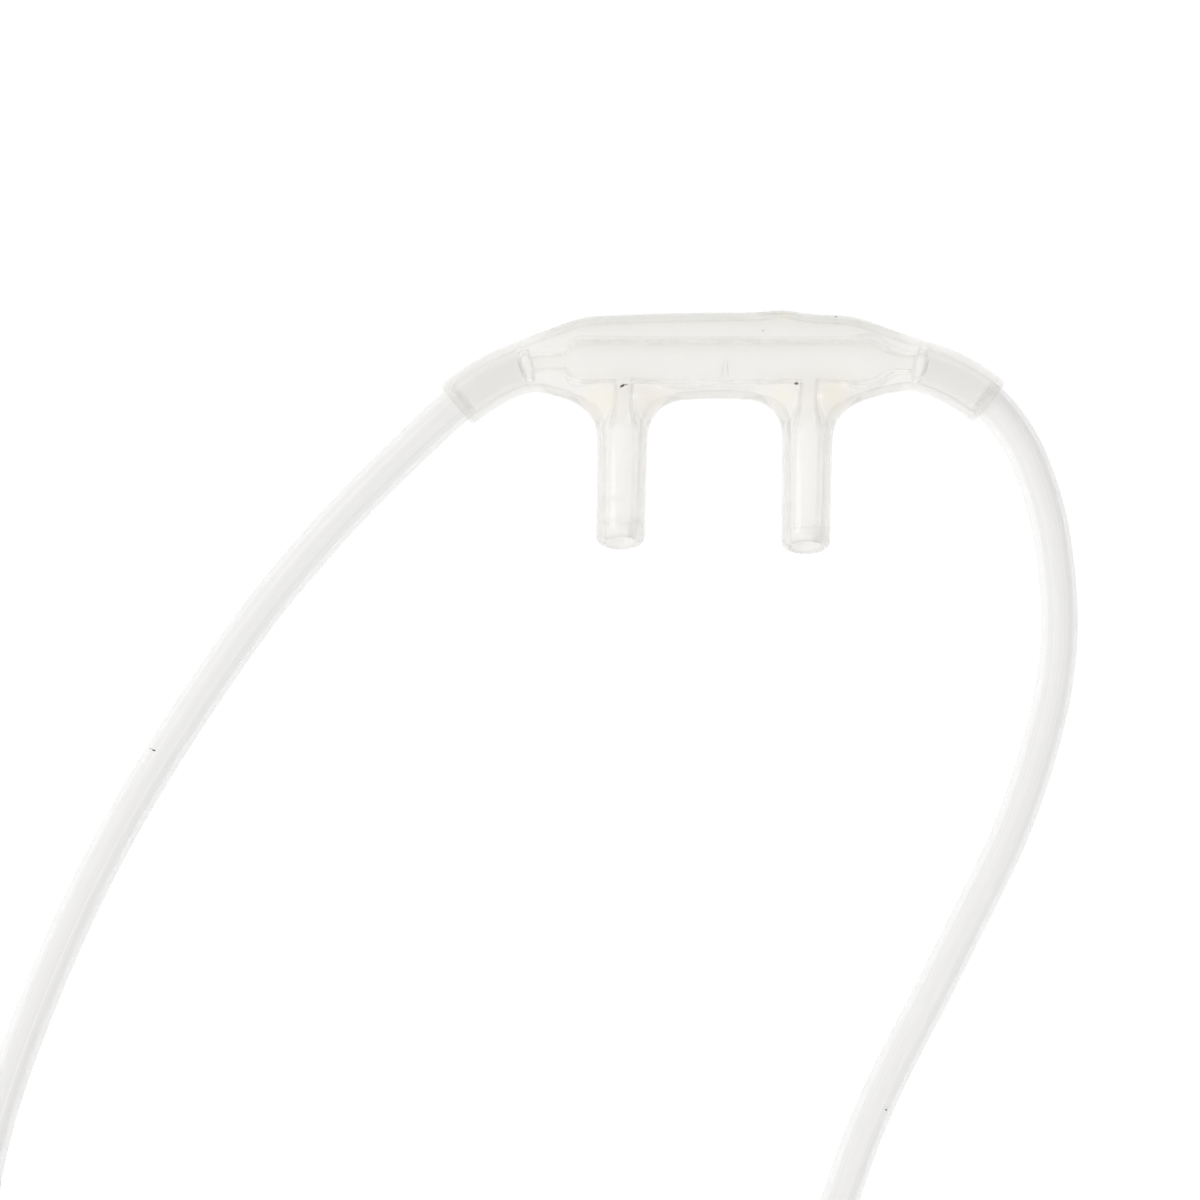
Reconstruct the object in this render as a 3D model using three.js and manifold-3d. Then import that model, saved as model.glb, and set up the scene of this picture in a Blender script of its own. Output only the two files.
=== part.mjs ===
// A nasal oxygen cannula lying on a table: a soft clear moulding with two curved nose prongs,
// and the two thin tubes that lead from its ends to a slider and a Y connector.
// Millimetres, +Z up, the table is z = 0. +X runs along the moulding, the prongs point to -Y,
// and the origin is under the middle of the moulding's flat underside.
import * as THREE from 'three';
import { mergeVertices } from 'three/addons/utils/BufferGeometryUtils.js';
import Module from 'manifold-3d';

const wasm = await Module();
wasm.setup();

// Moulding: its level middle and the two sleeves that droop from it
const HALF_SPAN = 24.0; // middle to a sleeve's mouth, along X
const BODY_HEIGHT = 7.7; // top edge to the edge that the prongs grow from
const BODY_DEPTH = 5.5; // flat underside to the upper face
const BODY_CROWN = 5.8; // depth of the rounded section before its underside is flattened
const BODY_SQUARENESS = 2.4; // 2 is an ellipse, more is squarer
const BODY_SAG = 1.44; // how far the whole moulding bows towards -Y at its mouths
const NECK_START = 11.5; // where the body begins to narrow, from the middle
const NECK_END = 19.0; // where it has become a round sleeve
const SLEEVE_OD = 4.6;
const SLEEVE_ROUND = 0.25; // rounding of the sleeve's mouth edge
const DROOP_START = { left: 15.6, right: 15.8 }; // where each sleeve starts to bend
const DROOP = { left: 3.06, right: 2.79 }; // how far each mouth bends down from there
const GATE_X = 4.4; // the small swelling left on the top edge by moulding
const GATE_RISE = 0.25;
const GATE_LENGTH = 4.8;

// Hollows of the moulding
const CAVITY_LENGTH = 29.1;
const CAVITY_HEIGHT = 3.6;
const CAVITY_DEPTH = 3.1;
const CAVITY_DROP = 0.8; // cavity's middle below the body's middle
const LUMEN_D = 1.5; // passage from the cavity to a tube's end

// Prongs
const PRONG_SPACING = 16.6;
const PRONG_SHIFT = -0.66; // the pair sits a little to one side
const PRONG_LEAN = 1.35; // degrees, both towards -X
const PRONG_REACH = { left: 16.9, right: 17.3 }; // body's middle line to the mouth's centre
const PRONG_OD = 4.6;
const PRONG_TIP_OD = 4.35;
const PRONG_BORE = 2.9;
const PRONG_TILT = 20; // degrees that the tips curve up
const PRONG_FLARE = 2.2; // size of the flare where a prong grows out of the body
const TIP_ROUND = 0.45;

// Tubing
const TUBE_OD = 3.3;
const SOCKET_GAP = 0.15; // all round a tube in its socket
const SEAT_GAP = 0.3; // end of a tube to the bottom of its socket
const SOCKET_DEPTH = 5.9; // how far a tube sits in a sleeve, along X
const TUBE_STEP = 3.3; // length of one straight facet of a tube

// Coil of the tubes' far lengths, both wound side by side
const COIL_CENTRE = [-45, -103.1];
const COIL_LANE = 3.5; // spacing of the two tubes across the coil
const COIL_DIAMETER = 39.4; // at the middle of the two
const COIL_HEIGHT = 12.5;
const COIL_ROUND = 1.6;
const COIL_CLEAR = 0.1; // coil's skin outside the tubes

// Slider and Y connector on the straight twin tubes beyond the coil
const TWIN_Y = -122.8; // line between the two tubes
const TWIN_PITCH = 4.4;
const TWIN_Z = 3.7; // both fittings lie on the table
const SLIDER_X = -3.5;
const SLIDER_LENGTH = 12;
const SLIDER_WIDTH = 12;
const SLIDER_BORE_GAP = 0.3; // all round the two tubes
const SLIDER_EDGE = 0.5;
const WYE_X = 10; // face that the two tubes enter
const WYE_LENGTH = 20.5;
const WYE_WIDTH = 11.4;
const WYE_END_OD = 7.4;
const WYE_TUBE_DEPTH = 6;
const WYE_LUMEN_D = 2.1;
const SUPPLY_BORE = 5.0; // socket for the tube from the oxygen supply
const SUPPLY_DEPTH = 9;
const SUPPLY_LIP = 0.4;

// The left tube from the moulding's sleeve to the coil, and both tubes from the coil to the Y
const LEFT_ROUTE = [
  [-27.4, -7.6, 2.72], [-31.1, -11.2, 2.55], [-34.6, -14.8, 2.32], [-37.8, -18.4, 2.1],
  [-40.8, -22, 1.92], [-46, -29.2, 1.74], [-50.7, -36.4, 1.7], [-54.9, -43.6, 1.7],
  [-58.5, -50.8, 1.7], [-61.6, -58, 1.7], [-64.3, -65.2, 1.7], [-66.3, -72.4, 1.7],
  [-67.1, -78.5, 1.75], [-66.9, -84.5, 1.95], [-66.5, -89.6, 2.2],
];
const RIGHT_ROUTE = [
  [25.5, -5.95, 2.74], [26.6, -7.55, 2.68], [28.2, -11.1, 2.52], [29.3, -14.8, 2.32],
  [29.9, -18.4, 2.12], [30.3, -23.8, 1.88], [29.9, -29.2, 1.75], [28.2, -36.4, 1.7], [25.6, -43.6, 1.7],
  [22.1, -50.8, 1.7], [18.5, -58, 1.7], [14.8, -65.2, 1.7], [11.8, -72.4, 1.7],
  [8.9, -79.3, 1.7], [5.3, -83, 1.7], [0.4, -84.9, 1.7], [-6, -85.25, 1.7],
  [-14, -85.2, 1.7], [-21, -85.15, 1.7], [-27.8, -85.15, 1.68],
];
const LEFT_TAIL = [
  [-31.8, -124.6, 7.5], [-28, -124.7, 6.1], [-24, -124.85, 4.8], [-20, -124.95, 3.98],
];
const RIGHT_TAIL = [
  [-27.8, -121, 6.03], [-24, -120.8, 4.8], [-20, -120.65, 3.98],
];

// Smoothness of the solids
const BODY_SIDES = 28;
const BODY_STATIONS = 38;
const PRONG_SIDES = 20;
const BORE_SIDES = 14;
const TUBE_SIDES = 8;
const COIL_SIDES = 48;

const AXIS_Z = BODY_DEPTH / 2;
const OVERSHOOT = 1; // how far a cutter passes the face it opens
const SIDE_SIGN = { left: -1, right: 1 };

const clearPlastic = (name, color) =>
  new THREE.MeshStandardMaterial({ name, color, roughness: 0.25, metalness: 0 });
const mouldedVinyl = clearPlastic('moulded_vinyl', 0xe9e5da);
const tubeVinyl = clearPlastic('tube_vinyl', 0xefeeea);
const fittingPlastic = clearPlastic('fitting_plastic', 0xe4e6e2);

const radians = THREE.MathUtils.degToRad;
const smooth = (value, low, high) => THREE.MathUtils.smoothstep(value, low, high);
const ease = (from, to, share) => THREE.MathUtils.lerp(from, to, share);

// A closed skin over a row of rings with the same count of points, fanned shut at both ends
function skin(rings) {
  const sides = rings[0].length;
  const points = rings.flat();
  const faces = [];
  for (let ring = 0; ring + 1 < rings.length; ring += 1) {
    for (let side = 0; side < sides; side += 1) {
      const next = (side + 1) % sides;
      const [a, b] = [ring * sides + side, ring * sides + next];
      const [c, d] = [a + sides, b + sides];
      faces.push(a, b, d, a, d, c);
    }
  }
  for (const end of [0, rings.length - 1]) {
    const middle = new THREE.Vector3();
    for (const point of rings[end]) {
      middle.addScaledVector(point, 1 / sides);
    }
    points.push(middle);
    for (let side = 0; side < sides; side += 1) {
      const [a, b] = [end * sides + side, end * sides + ((side + 1) % sides)];
      faces.push(points.length - 1, end ? a : b, end ? b : a);
    }
  }
  return outward(points, faces);
}

// A geometry from points and faces, turned inside out if its volume comes out negative
function outward(points, faces) {
  let volume = 0;
  for (let face = 0; face < faces.length; face += 3) {
    const [a, b, c] = [points[faces[face]], points[faces[face + 1]], points[faces[face + 2]]];
    volume += a.dot(new THREE.Vector3().crossVectors(b, c));
  }
  const geometry = new THREE.BufferGeometry().setFromPoints(points);
  geometry.setIndex(volume < 0 ? faces.toReversed() : faces);
  return geometry;
}

// Between a three.js geometry and a solid that can be joined and cut
function solid(geometry) {
  const bare = geometry.clone();
  bare.deleteAttribute('normal');
  bare.deleteAttribute('uv');
  const merged = mergeVertices(bare);
  const vertProperties = new Float32Array(merged.attributes.position.array);
  const triVerts = new Uint32Array(merged.index.array);
  return new wasm.Manifold(new wasm.Mesh({ numProp: 3, vertProperties, triVerts }));
}

function geometryOf(shape) {
  const mesh = shape.getMesh();
  const geometry = new THREE.BufferGeometry();
  geometry.setAttribute('position', new THREE.BufferAttribute(mesh.vertProperties, 3));
  geometry.setIndex(new THREE.BufferAttribute(mesh.triVerts, 1));
  return geometry;
}

function addPiece(name, geometry, material) {
  const mesh = new THREE.Mesh(geometry, material);
  mesh.name = name;
  cannula.add(mesh);
}

// An ellipse or superellipse about a centre, in the plane of two unit vectors
function ring(centre, across, upward, halfWidth, halfHeight, sides, squareness = 2) {
  const power = 2 / squareness;
  const bulge = (value) => Math.sign(value) * Math.abs(value) ** power;
  return Array.from({ length: sides }, (_, side) => {
    const angle = (2 * Math.PI * (side + 0.5)) / sides;
    return centre
      .clone()
      .addScaledVector(across, halfWidth * bulge(Math.cos(angle)))
      .addScaledVector(upward, halfHeight * bulge(Math.sin(angle)));
  });
}

// The moulding's middle line: a shallow bow, and past the start of the droop a steeper one
function middleLine(x) {
  const side = x < 0 ? 'left' : 'right';
  const past = Math.max(Math.abs(x) - DROOP_START[side], 0) / (HALF_SPAN - DROOP_START[side]);
  const share = x / HALF_SPAN;
  return new THREE.Vector3(x, -BODY_SAG * share ** 2 - DROOP[side] * past ** 2, AXIS_Z);
}

// Direction along the middle line, towards +X
function middleDirection(x) {
  const reach = 0.01;
  return middleLine(x + reach).sub(middleLine(x - reach)).normalize();
}

const UP = new THREE.Vector3(0, 0, 1);
const sideways = (direction) => new THREE.Vector3().crossVectors(UP, direction).normalize();

// One cross-section of the moulding: high and flat-bottomed in the middle, round at a sleeve
function bodyRing(x, shrink = 0) {
  const share = smooth(Math.abs(x), NECK_START, NECK_END);
  const halfHeight = ease(BODY_HEIGHT, SLEEVE_OD, share) / 2 - shrink;
  const halfDepth = ease(BODY_CROWN, SLEEVE_OD, share) / 2 - shrink;
  const squareness = ease(BODY_SQUARENESS, 2, share);
  const across = sideways(middleDirection(x));
  const points = ring(middleLine(x), across, UP, halfHeight, halfDepth, BODY_SIDES, squareness);
  const swelling = GATE_RISE * Math.exp(-(((x - GATE_X) / (GATE_LENGTH / 2)) ** 2) * 2);
  for (const point of points) {
    const towardsTop = Math.max(point.y / (BODY_HEIGHT / 2), 0);
    point.y += swelling * towardsTop ** 4;
    point.z = THREE.MathUtils.clamp(point.z, 0, BODY_DEPTH);
  }
  return points;
}

function mouldingOutside() {
  const rings = [bodyRing(-HALF_SPAN, SLEEVE_ROUND)];
  const last = HALF_SPAN - SLEEVE_ROUND;
  for (let station = 0; station <= BODY_STATIONS; station += 1) {
    rings.push(bodyRing(ease(-last, last, station / BODY_STATIONS)));
  }
  rings.push(bodyRing(HALF_SPAN, SLEEVE_ROUND));
  return solid(skin(rings));
}

// A prong's middle line: straight inside the body, then an arc that curves up to the mouth.
// The distance runs from the body's lower edge and is negative inside it.
const PRONG_ROOT_Y = -BODY_HEIGHT / 2;
function prongArc(side) {
  const radius = (PRONG_REACH[side] + PRONG_ROOT_Y) / Math.sin(radians(PRONG_TILT));
  return { radius, length: radius * radians(PRONG_TILT) };
}

function prongPoint(side, distance) {
  const { radius } = prongArc(side);
  const turned = Math.max(distance, 0) / radius;
  const forward = distance < 0 ? distance : radius * Math.sin(turned);
  const x = (SIDE_SIGN[side] * PRONG_SPACING) / 2 + PRONG_SHIFT;
  return new THREE.Vector3(
    x - forward * Math.tan(radians(PRONG_LEAN)),
    PRONG_ROOT_Y - forward,
    AXIS_Z + radius * (1 - Math.cos(turned)),
  );
}

function prongRing(side, distance, halfWidth, halfHeight, sides) {
  const reach = 0.01;
  const ahead = prongPoint(side, distance + reach);
  const direction = ahead.sub(prongPoint(side, distance - reach)).normalize();
  const across = sideways(direction);
  const upward = new THREE.Vector3().crossVectors(direction, across);
  return ring(prongPoint(side, distance), across, upward, halfWidth, halfHeight, sides);
}

function prongOutside(side) {
  const { length } = prongArc(side);
  const radiusAt = (distance) => ease(PRONG_OD, PRONG_TIP_OD, Math.max(distance, 0) / length) / 2;
  const deepest = AXIS_Z - PRONG_OD / 2 - SOCKET_GAP;
  const flareAt = (distance) => {
    const share = THREE.MathUtils.clamp(1 - distance / PRONG_FLARE, 0, 1);
    return 1 - Math.sqrt(1 - share ** 2);
  };
  const straight = [3, 5.5, 8, 10.5].filter((distance) => distance < length - TIP_ROUND);
  const stations = [-2, 0, 0.06, 0.16, 0.32, 0.55, 0.8].map((share) => share * PRONG_FLARE);
  stations[0] = -2;
  const rings = [...stations, PRONG_FLARE, ...straight, length - TIP_ROUND].map((distance) => {
    const radius = radiusAt(distance);
    const flare = flareAt(distance);
    return prongRing(side, distance, radius + PRONG_FLARE * flare, radius + deepest * flare,
      PRONG_SIDES);
  });
  for (const turn of [30, 60, 90]) {
    const back = TIP_ROUND * (1 - Math.sin(radians(turn)));
    const radius = radiusAt(length) - TIP_ROUND * (1 - Math.cos(radians(turn)));
    rings.push(prongRing(side, length - back, radius, radius, PRONG_SIDES));
  }
  return solid(skin(rings));
}

// The bore of a prong, from the middle of the cavity out through the mouth
function prongBore(side) {
  const { length } = prongArc(side);
  const start = CAVITY_DROP + PRONG_ROOT_Y;
  const steps = 7;
  const rings = Array.from({ length: steps + 1 }, (_, step) => {
    const distance = ease(start, length + OVERSHOOT, step / steps);
    return prongRing(side, distance, PRONG_BORE / 2, PRONG_BORE / 2, BORE_SIDES);
  });
  return solid(skin(rings));
}

// The round-ended cavity along the inside of the body
function cavity() {
  const radius = CAVITY_HEIGHT / 2;
  const straight = CAVITY_LENGTH / 2 - radius;
  const profile = [];
  for (const end of [-1, 1]) {
    for (let step = 0; step <= 5; step += 1) {
      const angle = (Math.PI / 2) * (end < 0 ? 1 - step / 5 : step / 5);
      const away = straight + radius * Math.sin(angle);
      profile.push(new THREE.Vector2(Math.max(radius * Math.cos(angle), 0), end * away));
    }
  }
  profile[0].x = 0;
  profile[profile.length - 1].x = 0;
  const geometry = new THREE.LatheGeometry(profile, PRONG_SIDES);
  geometry.rotateZ(-Math.PI / 2);
  geometry.scale(1, 1, CAVITY_DEPTH / CAVITY_HEIGHT);
  geometry.translate(0, -CAVITY_DROP, AXIS_Z);
  return solid(geometry);
}

// The passage from inside the cavity to the bottom of a socket
function lumen(side) {
  const sign = SIDE_SIGN[side];
  const inner = CAVITY_LENGTH / 2 - CAVITY_HEIGHT / 4;
  const bottom = HALF_SPAN - SOCKET_DEPTH - SEAT_GAP;
  const wide = TUBE_OD / 2 + SOCKET_GAP;
  const section = (distance, radius) => {
    const centre = middleLine(sign * distance);
    const rest = 1 - (distance - inner) / (bottom - inner);
    centre.y = ease(centre.y, -CAVITY_DROP, THREE.MathUtils.clamp(rest, 0, 1));
    const across = sideways(middleDirection(sign * distance));
    return ring(centre, across, UP, radius, radius, BORE_SIDES);
  };
  const middle = (inner + bottom) / 2;
  return solid(skin([
    section(inner, LUMEN_D / 2), section(middle, LUMEN_D / 2), section(bottom, LUMEN_D / 2),
  ])).add(solid(skin([section(bottom, wide), section(bottom + 2 * SEAT_GAP, wide)])));
}

// Points of a tube from the bottom of its socket to the moulding's mouth
function inSleeve(side) {
  const sign = SIDE_SIGN[side];
  return [SOCKET_DEPTH, SOCKET_DEPTH * 0.66, SOCKET_DEPTH * 0.33, 0]
    .map((depth) => middleLine(sign * (HALF_SPAN - depth)));
}

const asPoints = (route) => route.map((point) => new THREE.Vector3(...point));

function tube(points, diameter) {
  const path = new THREE.CatmullRomCurve3(points, false, 'centripetal');
  const section = new THREE.Shape(Array.from({ length: TUBE_SIDES }, (_, side) => {
    const angle = (2 * Math.PI * (side + 0.5)) / TUBE_SIDES;
    return new THREE.Vector2(Math.cos(angle), Math.sin(angle)).multiplyScalar(diameter / 2);
  }));
  const steps = Math.round(path.getLength() / TUBE_STEP);
  return new THREE.ExtrudeGeometry(section, { steps, extrudePath: path });
}

const ROUTES = {
  left: [...inSleeve('left'), ...asPoints(LEFT_ROUTE)],
  right: [...inSleeve('right'), ...asPoints(RIGHT_ROUTE)],
};

function nasalFacepiece() {
  let shape = mouldingOutside().add(prongOutside('left')).add(prongOutside('right'));
  shape = shape.subtract(cavity());
  for (const side of ['left', 'right']) {
    shape = shape.subtract(prongBore(side)).subtract(lumen(side));
    shape = shape.subtract(solid(tube(ROUTES[side], TUBE_OD + 2 * SOCKET_GAP)));
  }
  return geometryOf(shape);
}

// Both far lengths as one ring with rounded edges
function tubeCoil() {
  const half = (COIL_LANE + TUBE_OD) / 2 + COIL_CLEAR;
  const [low, high] = [COIL_DIAMETER / 2 - half, COIL_DIAMETER / 2 + half];
  const corners = [
    [high - COIL_ROUND, COIL_ROUND, -90], [high - COIL_ROUND, COIL_HEIGHT - COIL_ROUND, 0],
    [low + COIL_ROUND, COIL_HEIGHT - COIL_ROUND, 90], [low + COIL_ROUND, COIL_ROUND, 180],
  ];
  const profile = corners.flatMap(([r, z, start]) => [0, 30, 60, 90].map((turn) => {
    const angle = radians(start + turn);
    return new THREE.Vector2(r + COIL_ROUND * Math.cos(angle), z + COIL_ROUND * Math.sin(angle));
  }));
  profile.push(profile[0].clone());
  const geometry = new THREE.LatheGeometry(profile, COIL_SIDES);
  geometry.rotateX(Math.PI / 2);
  geometry.translate(COIL_CENTRE[0], COIL_CENTRE[1], 0);
  return geometry;
}

// Straight twin stretch of one tube, from the coil to the bottom of its socket in the Y
function tubeTail(side, route) {
  const y = TWIN_Y + SIDE_SIGN[side] * TWIN_PITCH / 2;
  const end = WYE_X + WYE_TUBE_DEPTH;
  const straight = [-15, -9, 0].map((x) => [x, y, TWIN_Z]);
  return tube(asPoints([...route, ...straight, [end, y, TWIN_Z]]), TUBE_OD);
}

// A flat oval with semicircular ends, drawn in the plane across the twin tubes
function ovalPoints(width, height, grow = 0) {
  const radius = height / 2 + grow;
  const offset = (width - height) / 2;
  const points = [];
  for (let step = 0; step < BODY_SIDES; step += 1) {
    const angle = (2 * Math.PI * (step + 0.5)) / BODY_SIDES;
    const shift = Math.cos(angle) < 0 ? -offset : offset;
    points.push(new THREE.Vector2(shift + radius * Math.cos(angle), radius * Math.sin(angle)));
  }
  return points;
}

const acrossTwins = (points, x) =>
  points.map((point) => new THREE.Vector3(x, TWIN_Y + point.x, TWIN_Z + point.y));

// The slider: an oval sleeve with one oval hole that both tubes pass through
function slider() {
  const height = 2 * TWIN_Z;
  const [start, end] = [SLIDER_X - SLIDER_LENGTH / 2, SLIDER_X + SLIDER_LENGTH / 2];
  const outline = (x, grow) => acrossTwins(ovalPoints(SLIDER_WIDTH, height, grow), x);
  const outside = solid(skin([
    outline(start, -SLIDER_EDGE), outline(start + SLIDER_EDGE, 0),
    outline(end - SLIDER_EDGE, 0), outline(end, -SLIDER_EDGE),
  ]));
  const holeHeight = TUBE_OD + 2 * SLIDER_BORE_GAP;
  const hole = ovalPoints(TWIN_PITCH + holeHeight, holeHeight);
  const bore = skin([acrossTwins(hole, start - OVERSHOOT), acrossTwins(hole, end + OVERSHOOT)]);
  return geometryOf(outside.subtract(solid(bore)));
}

// A straight round cutter along X between two points
function roundCutter(from, to, diameter) {
  const direction = to.clone().sub(from).normalize();
  const across = sideways(direction);
  const upward = new THREE.Vector3().crossVectors(direction, across);
  const ends = [from, to];
  return solid(skin(ends.map((end) =>
    ring(end, across, upward, diameter / 2, diameter / 2, BORE_SIDES))));
}

// The Y connector: an oval end with two sockets that narrows to one round socket
function yConnector() {
  const end = WYE_X + WYE_LENGTH;
  const height = 2 * TWIN_Z;
  const shares = [0, 0.025, 0.3, 0.42, 0.54, 0.62, 0.98, 1];
  const outside = solid(skin(shares.map((share) => {
    const narrow = smooth(share, 0.3, 0.62);
    const width = ease(WYE_WIDTH, WYE_END_OD, narrow);
    const edge = share === 0 || share === 1 ? -SUPPLY_LIP : 0;
    const tall = Math.min(ease(height, WYE_END_OD, narrow), width);
    return acrossTwins(ovalPoints(width, tall, edge), ease(WYE_X, end, share));
  })));
  const at = (x, y) => new THREE.Vector3(x, y, TWIN_Z);
  const supplyBottom = end - SUPPLY_DEPTH;
  let shape = outside.subtract(
    roundCutter(at(supplyBottom, TWIN_Y), at(end + OVERSHOOT, TWIN_Y), SUPPLY_BORE));
  for (const sign of [-1, 1]) {
    const y = TWIN_Y + (sign * TWIN_PITCH) / 2;
    const bottom = WYE_X + WYE_TUBE_DEPTH + SEAT_GAP;
    const bore = TUBE_OD + 2 * SOCKET_GAP;
    shape = shape.subtract(roundCutter(at(WYE_X - OVERSHOOT, y), at(bottom, y), bore));
    const meet = at(supplyBottom + OVERSHOOT, TWIN_Y + (sign * (SUPPLY_BORE - WYE_LUMEN_D)) / 2);
    shape = shape.subtract(roundCutter(at(bottom - SEAT_GAP, y), meet, WYE_LUMEN_D));
  }
  return geometryOf(shape);
}

const cannula = new THREE.Group();
addPiece('nasal_facepiece', nasalFacepiece(), mouldedVinyl);
addPiece('left_tube', tube(ROUTES.left, TUBE_OD), tubeVinyl);
addPiece('right_tube', tube(ROUTES.right, TUBE_OD), tubeVinyl);
addPiece('tube_coil', tubeCoil(), tubeVinyl);
addPiece('left_tube_end', tubeTail('left', LEFT_TAIL), tubeVinyl);
addPiece('right_tube_end', tubeTail('right', RIGHT_TAIL), tubeVinyl);
addPiece('slider', slider(), fittingPlastic);
addPiece('y_connector', yConnector(), fittingPlastic);

export default cannula;
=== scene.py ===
# %% [markdown]
# # A nasal oxygen cannula in soft clear vinyl
# The finished part is a loaded frame of plain solids, which are never moved, with a fine
# surface made for each of them. Everything is in metres, with the table at z = 0, +X along
# the moulded facepiece and -Y the way its prongs point.

import bpy
import numpy as np
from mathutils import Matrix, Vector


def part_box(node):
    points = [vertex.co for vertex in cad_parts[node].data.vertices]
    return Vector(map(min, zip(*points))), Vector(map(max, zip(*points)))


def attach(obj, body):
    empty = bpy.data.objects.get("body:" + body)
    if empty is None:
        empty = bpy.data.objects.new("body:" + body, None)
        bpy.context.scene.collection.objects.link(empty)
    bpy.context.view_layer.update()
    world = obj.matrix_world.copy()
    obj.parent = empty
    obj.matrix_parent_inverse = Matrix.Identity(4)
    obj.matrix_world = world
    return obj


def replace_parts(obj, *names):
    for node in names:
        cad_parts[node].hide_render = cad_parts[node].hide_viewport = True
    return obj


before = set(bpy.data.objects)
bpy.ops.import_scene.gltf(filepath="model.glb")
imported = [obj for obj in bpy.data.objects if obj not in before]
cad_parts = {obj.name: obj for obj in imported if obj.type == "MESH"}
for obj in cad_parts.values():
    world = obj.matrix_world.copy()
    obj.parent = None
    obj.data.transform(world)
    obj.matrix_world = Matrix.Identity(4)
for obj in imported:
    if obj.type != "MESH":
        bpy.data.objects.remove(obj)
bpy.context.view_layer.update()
MM = 0.001
print("solids:", sorted(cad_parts))

# %% [markdown]
# ## The camera
# The photograph looks straight down on the table, so the camera does too. A long lens keeps
# the tubes' widths the same all over the picture. The picture is square, and its scale comes
# from the tube: 3.3 mm across and 37 pixels wide, so one pixel is 0.09 mm.

# %% Camera
PICTURE_PIXELS = 1200
PIXEL = 0.09 * MM
ORIGIN_PIXEL = (723, 356)  # where the frame's origin lies in the picture
SUBJECT_HEIGHT = 2 * MM  # the scale holds at this height above the table
LENS = 150
SENSOR = 36


def make_camera():
    """Hangs the camera over the middle of the picture, far enough up to see its whole width."""
    camera = bpy.data.objects.new("camera", bpy.data.cameras.new("camera"))
    camera.data.lens = LENS
    camera.data.sensor_width = SENSOR
    camera.data.clip_start = 0.01
    middle = PICTURE_PIXELS / 2
    distance = PICTURE_PIXELS * PIXEL * LENS / SENSOR
    camera.location = (
        (middle - ORIGIN_PIXEL[0]) * PIXEL,
        (ORIGIN_PIXEL[1] - middle) * PIXEL,
        SUBJECT_HEIGHT + distance,
    )
    bpy.context.scene.collection.objects.link(camera)
    bpy.context.scene.camera = camera
    return camera


camera = make_camera()
print("camera height:", round(camera.location.z, 3), "m")

# %% [markdown]
# ## Routes of the two tubes
# A side tube is a fixed length of limp hose. Its route is a list of given points: out of the
# sleeve, down to the table and away. Past the picture's edge both tubes are put
# away as for storage, wound side by side in one round coil, and then run straight through
# the slider into the Y connector. A cubic spline through the points keeps the bend smooth,
# which a chain of straight or circular pieces would not.

# %% Route points in millimetres
HALF_SPAN = 24.0
BODY_SAG = 1.44
DROOP_START = {"left": 15.6, "right": 15.8}
DROOP = {"left": 3.06, "right": 2.79}
AXIS_Z = 2.75
SOCKET_DEPTH = 5.9
SIDES = {"left": -1, "right": 1}

ROUTES = {
    "left": [
        (-27.4, -7.6, 2.72), (-31.1, -11.2, 2.55), (-34.6, -14.8, 2.32), (-37.8, -18.4, 2.1),
        (-40.8, -22, 1.92), (-46, -29.2, 1.74), (-50.7, -36.4, 1.7), (-54.9, -43.6, 1.7),
        (-58.5, -50.8, 1.7), (-61.6, -58, 1.7), (-64.3, -65.2, 1.7), (-66.3, -72.4, 1.7),
        (-67.1, -78.5, 1.75), (-66.9, -84.5, 1.95), (-66.5, -89.6, 2.2),
    ],
    "right": [
        (25.5, -5.95, 2.74), (26.6, -7.55, 2.68), (28.2, -11.1, 2.52), (29.3, -14.8, 2.32),
        (29.9, -18.4, 2.12), (30.3, -23.8, 1.88), (29.9, -29.2, 1.75), (28.2, -36.4, 1.7),
        (25.6, -43.6, 1.7), (22.1, -50.8, 1.7), (18.5, -58, 1.7), (14.8, -65.2, 1.7),
        (11.8, -72.4, 1.7), (8.9, -79.3, 1.7), (5.3, -83, 1.7), (0.4, -84.9, 1.7),
        (-6, -85.25, 1.7), (-14, -85.2, 1.7), (-21, -85.15, 1.7), (-27.8, -85.15, 1.68),
    ],
}
TAILS = {
    "left": [(-31.8, -124.6, 7.5), (-28, -124.7, 6.1), (-24, -124.85, 4.8), (-20, -124.95, 3.98)],
    "right": [(-27.8, -121, 6.03), (-24, -120.8, 4.8), (-20, -120.65, 3.98)],
}
# Where both tubes run side by side, straight along X
TWIN_Y, TWIN_PITCH, TWIN_Z = -122.8, 4.4, 3.7
STRAIGHT_X = (-15, -9, 0, 8)
WYE_X, WYE_TUBE_DEPTH = 10.0, 6.0

# %% The facepiece's middle line


def middle_line(x):
    """A shallow bow, y = -sag (x/half span)^2, with a second, steeper square term past the
    start of the droop on each side. Takes and gives arrays, in millimetres."""
    x = np.asarray(x, float)
    y = -BODY_SAG * (x / HALF_SPAN) ** 2
    for side, sign in SIDES.items():
        start = DROOP_START[side]
        past = np.maximum(sign * x - start, 0) / (HALF_SPAN - start)
        y = y - DROOP[side] * past**2
    return y


def in_sleeve(side):
    """Four points on the middle line, from the bottom of the socket to the mouth."""
    x = SIDES[side] * (HALF_SPAN - SOCKET_DEPTH * np.array([1, 0.66, 0.33, 0]))
    return np.stack([x, middle_line(x), np.full(4, AXIS_Z)], axis=1)


# %% The coil's turns
COIL_CENTRE = (-45.0, -103.1)
COIL_DIAMETER, COIL_LANE = 39.4, 3.5
COIL_FLOOR, COIL_PITCH = 1.66, 3.6
COIL_TURNS = {"left": 2.25, "right": 2.5}
COIL_START = {"left": 180, "right": 90}  # degrees, where each tube joins the coil
POINTS_A_TURN = 16


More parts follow.
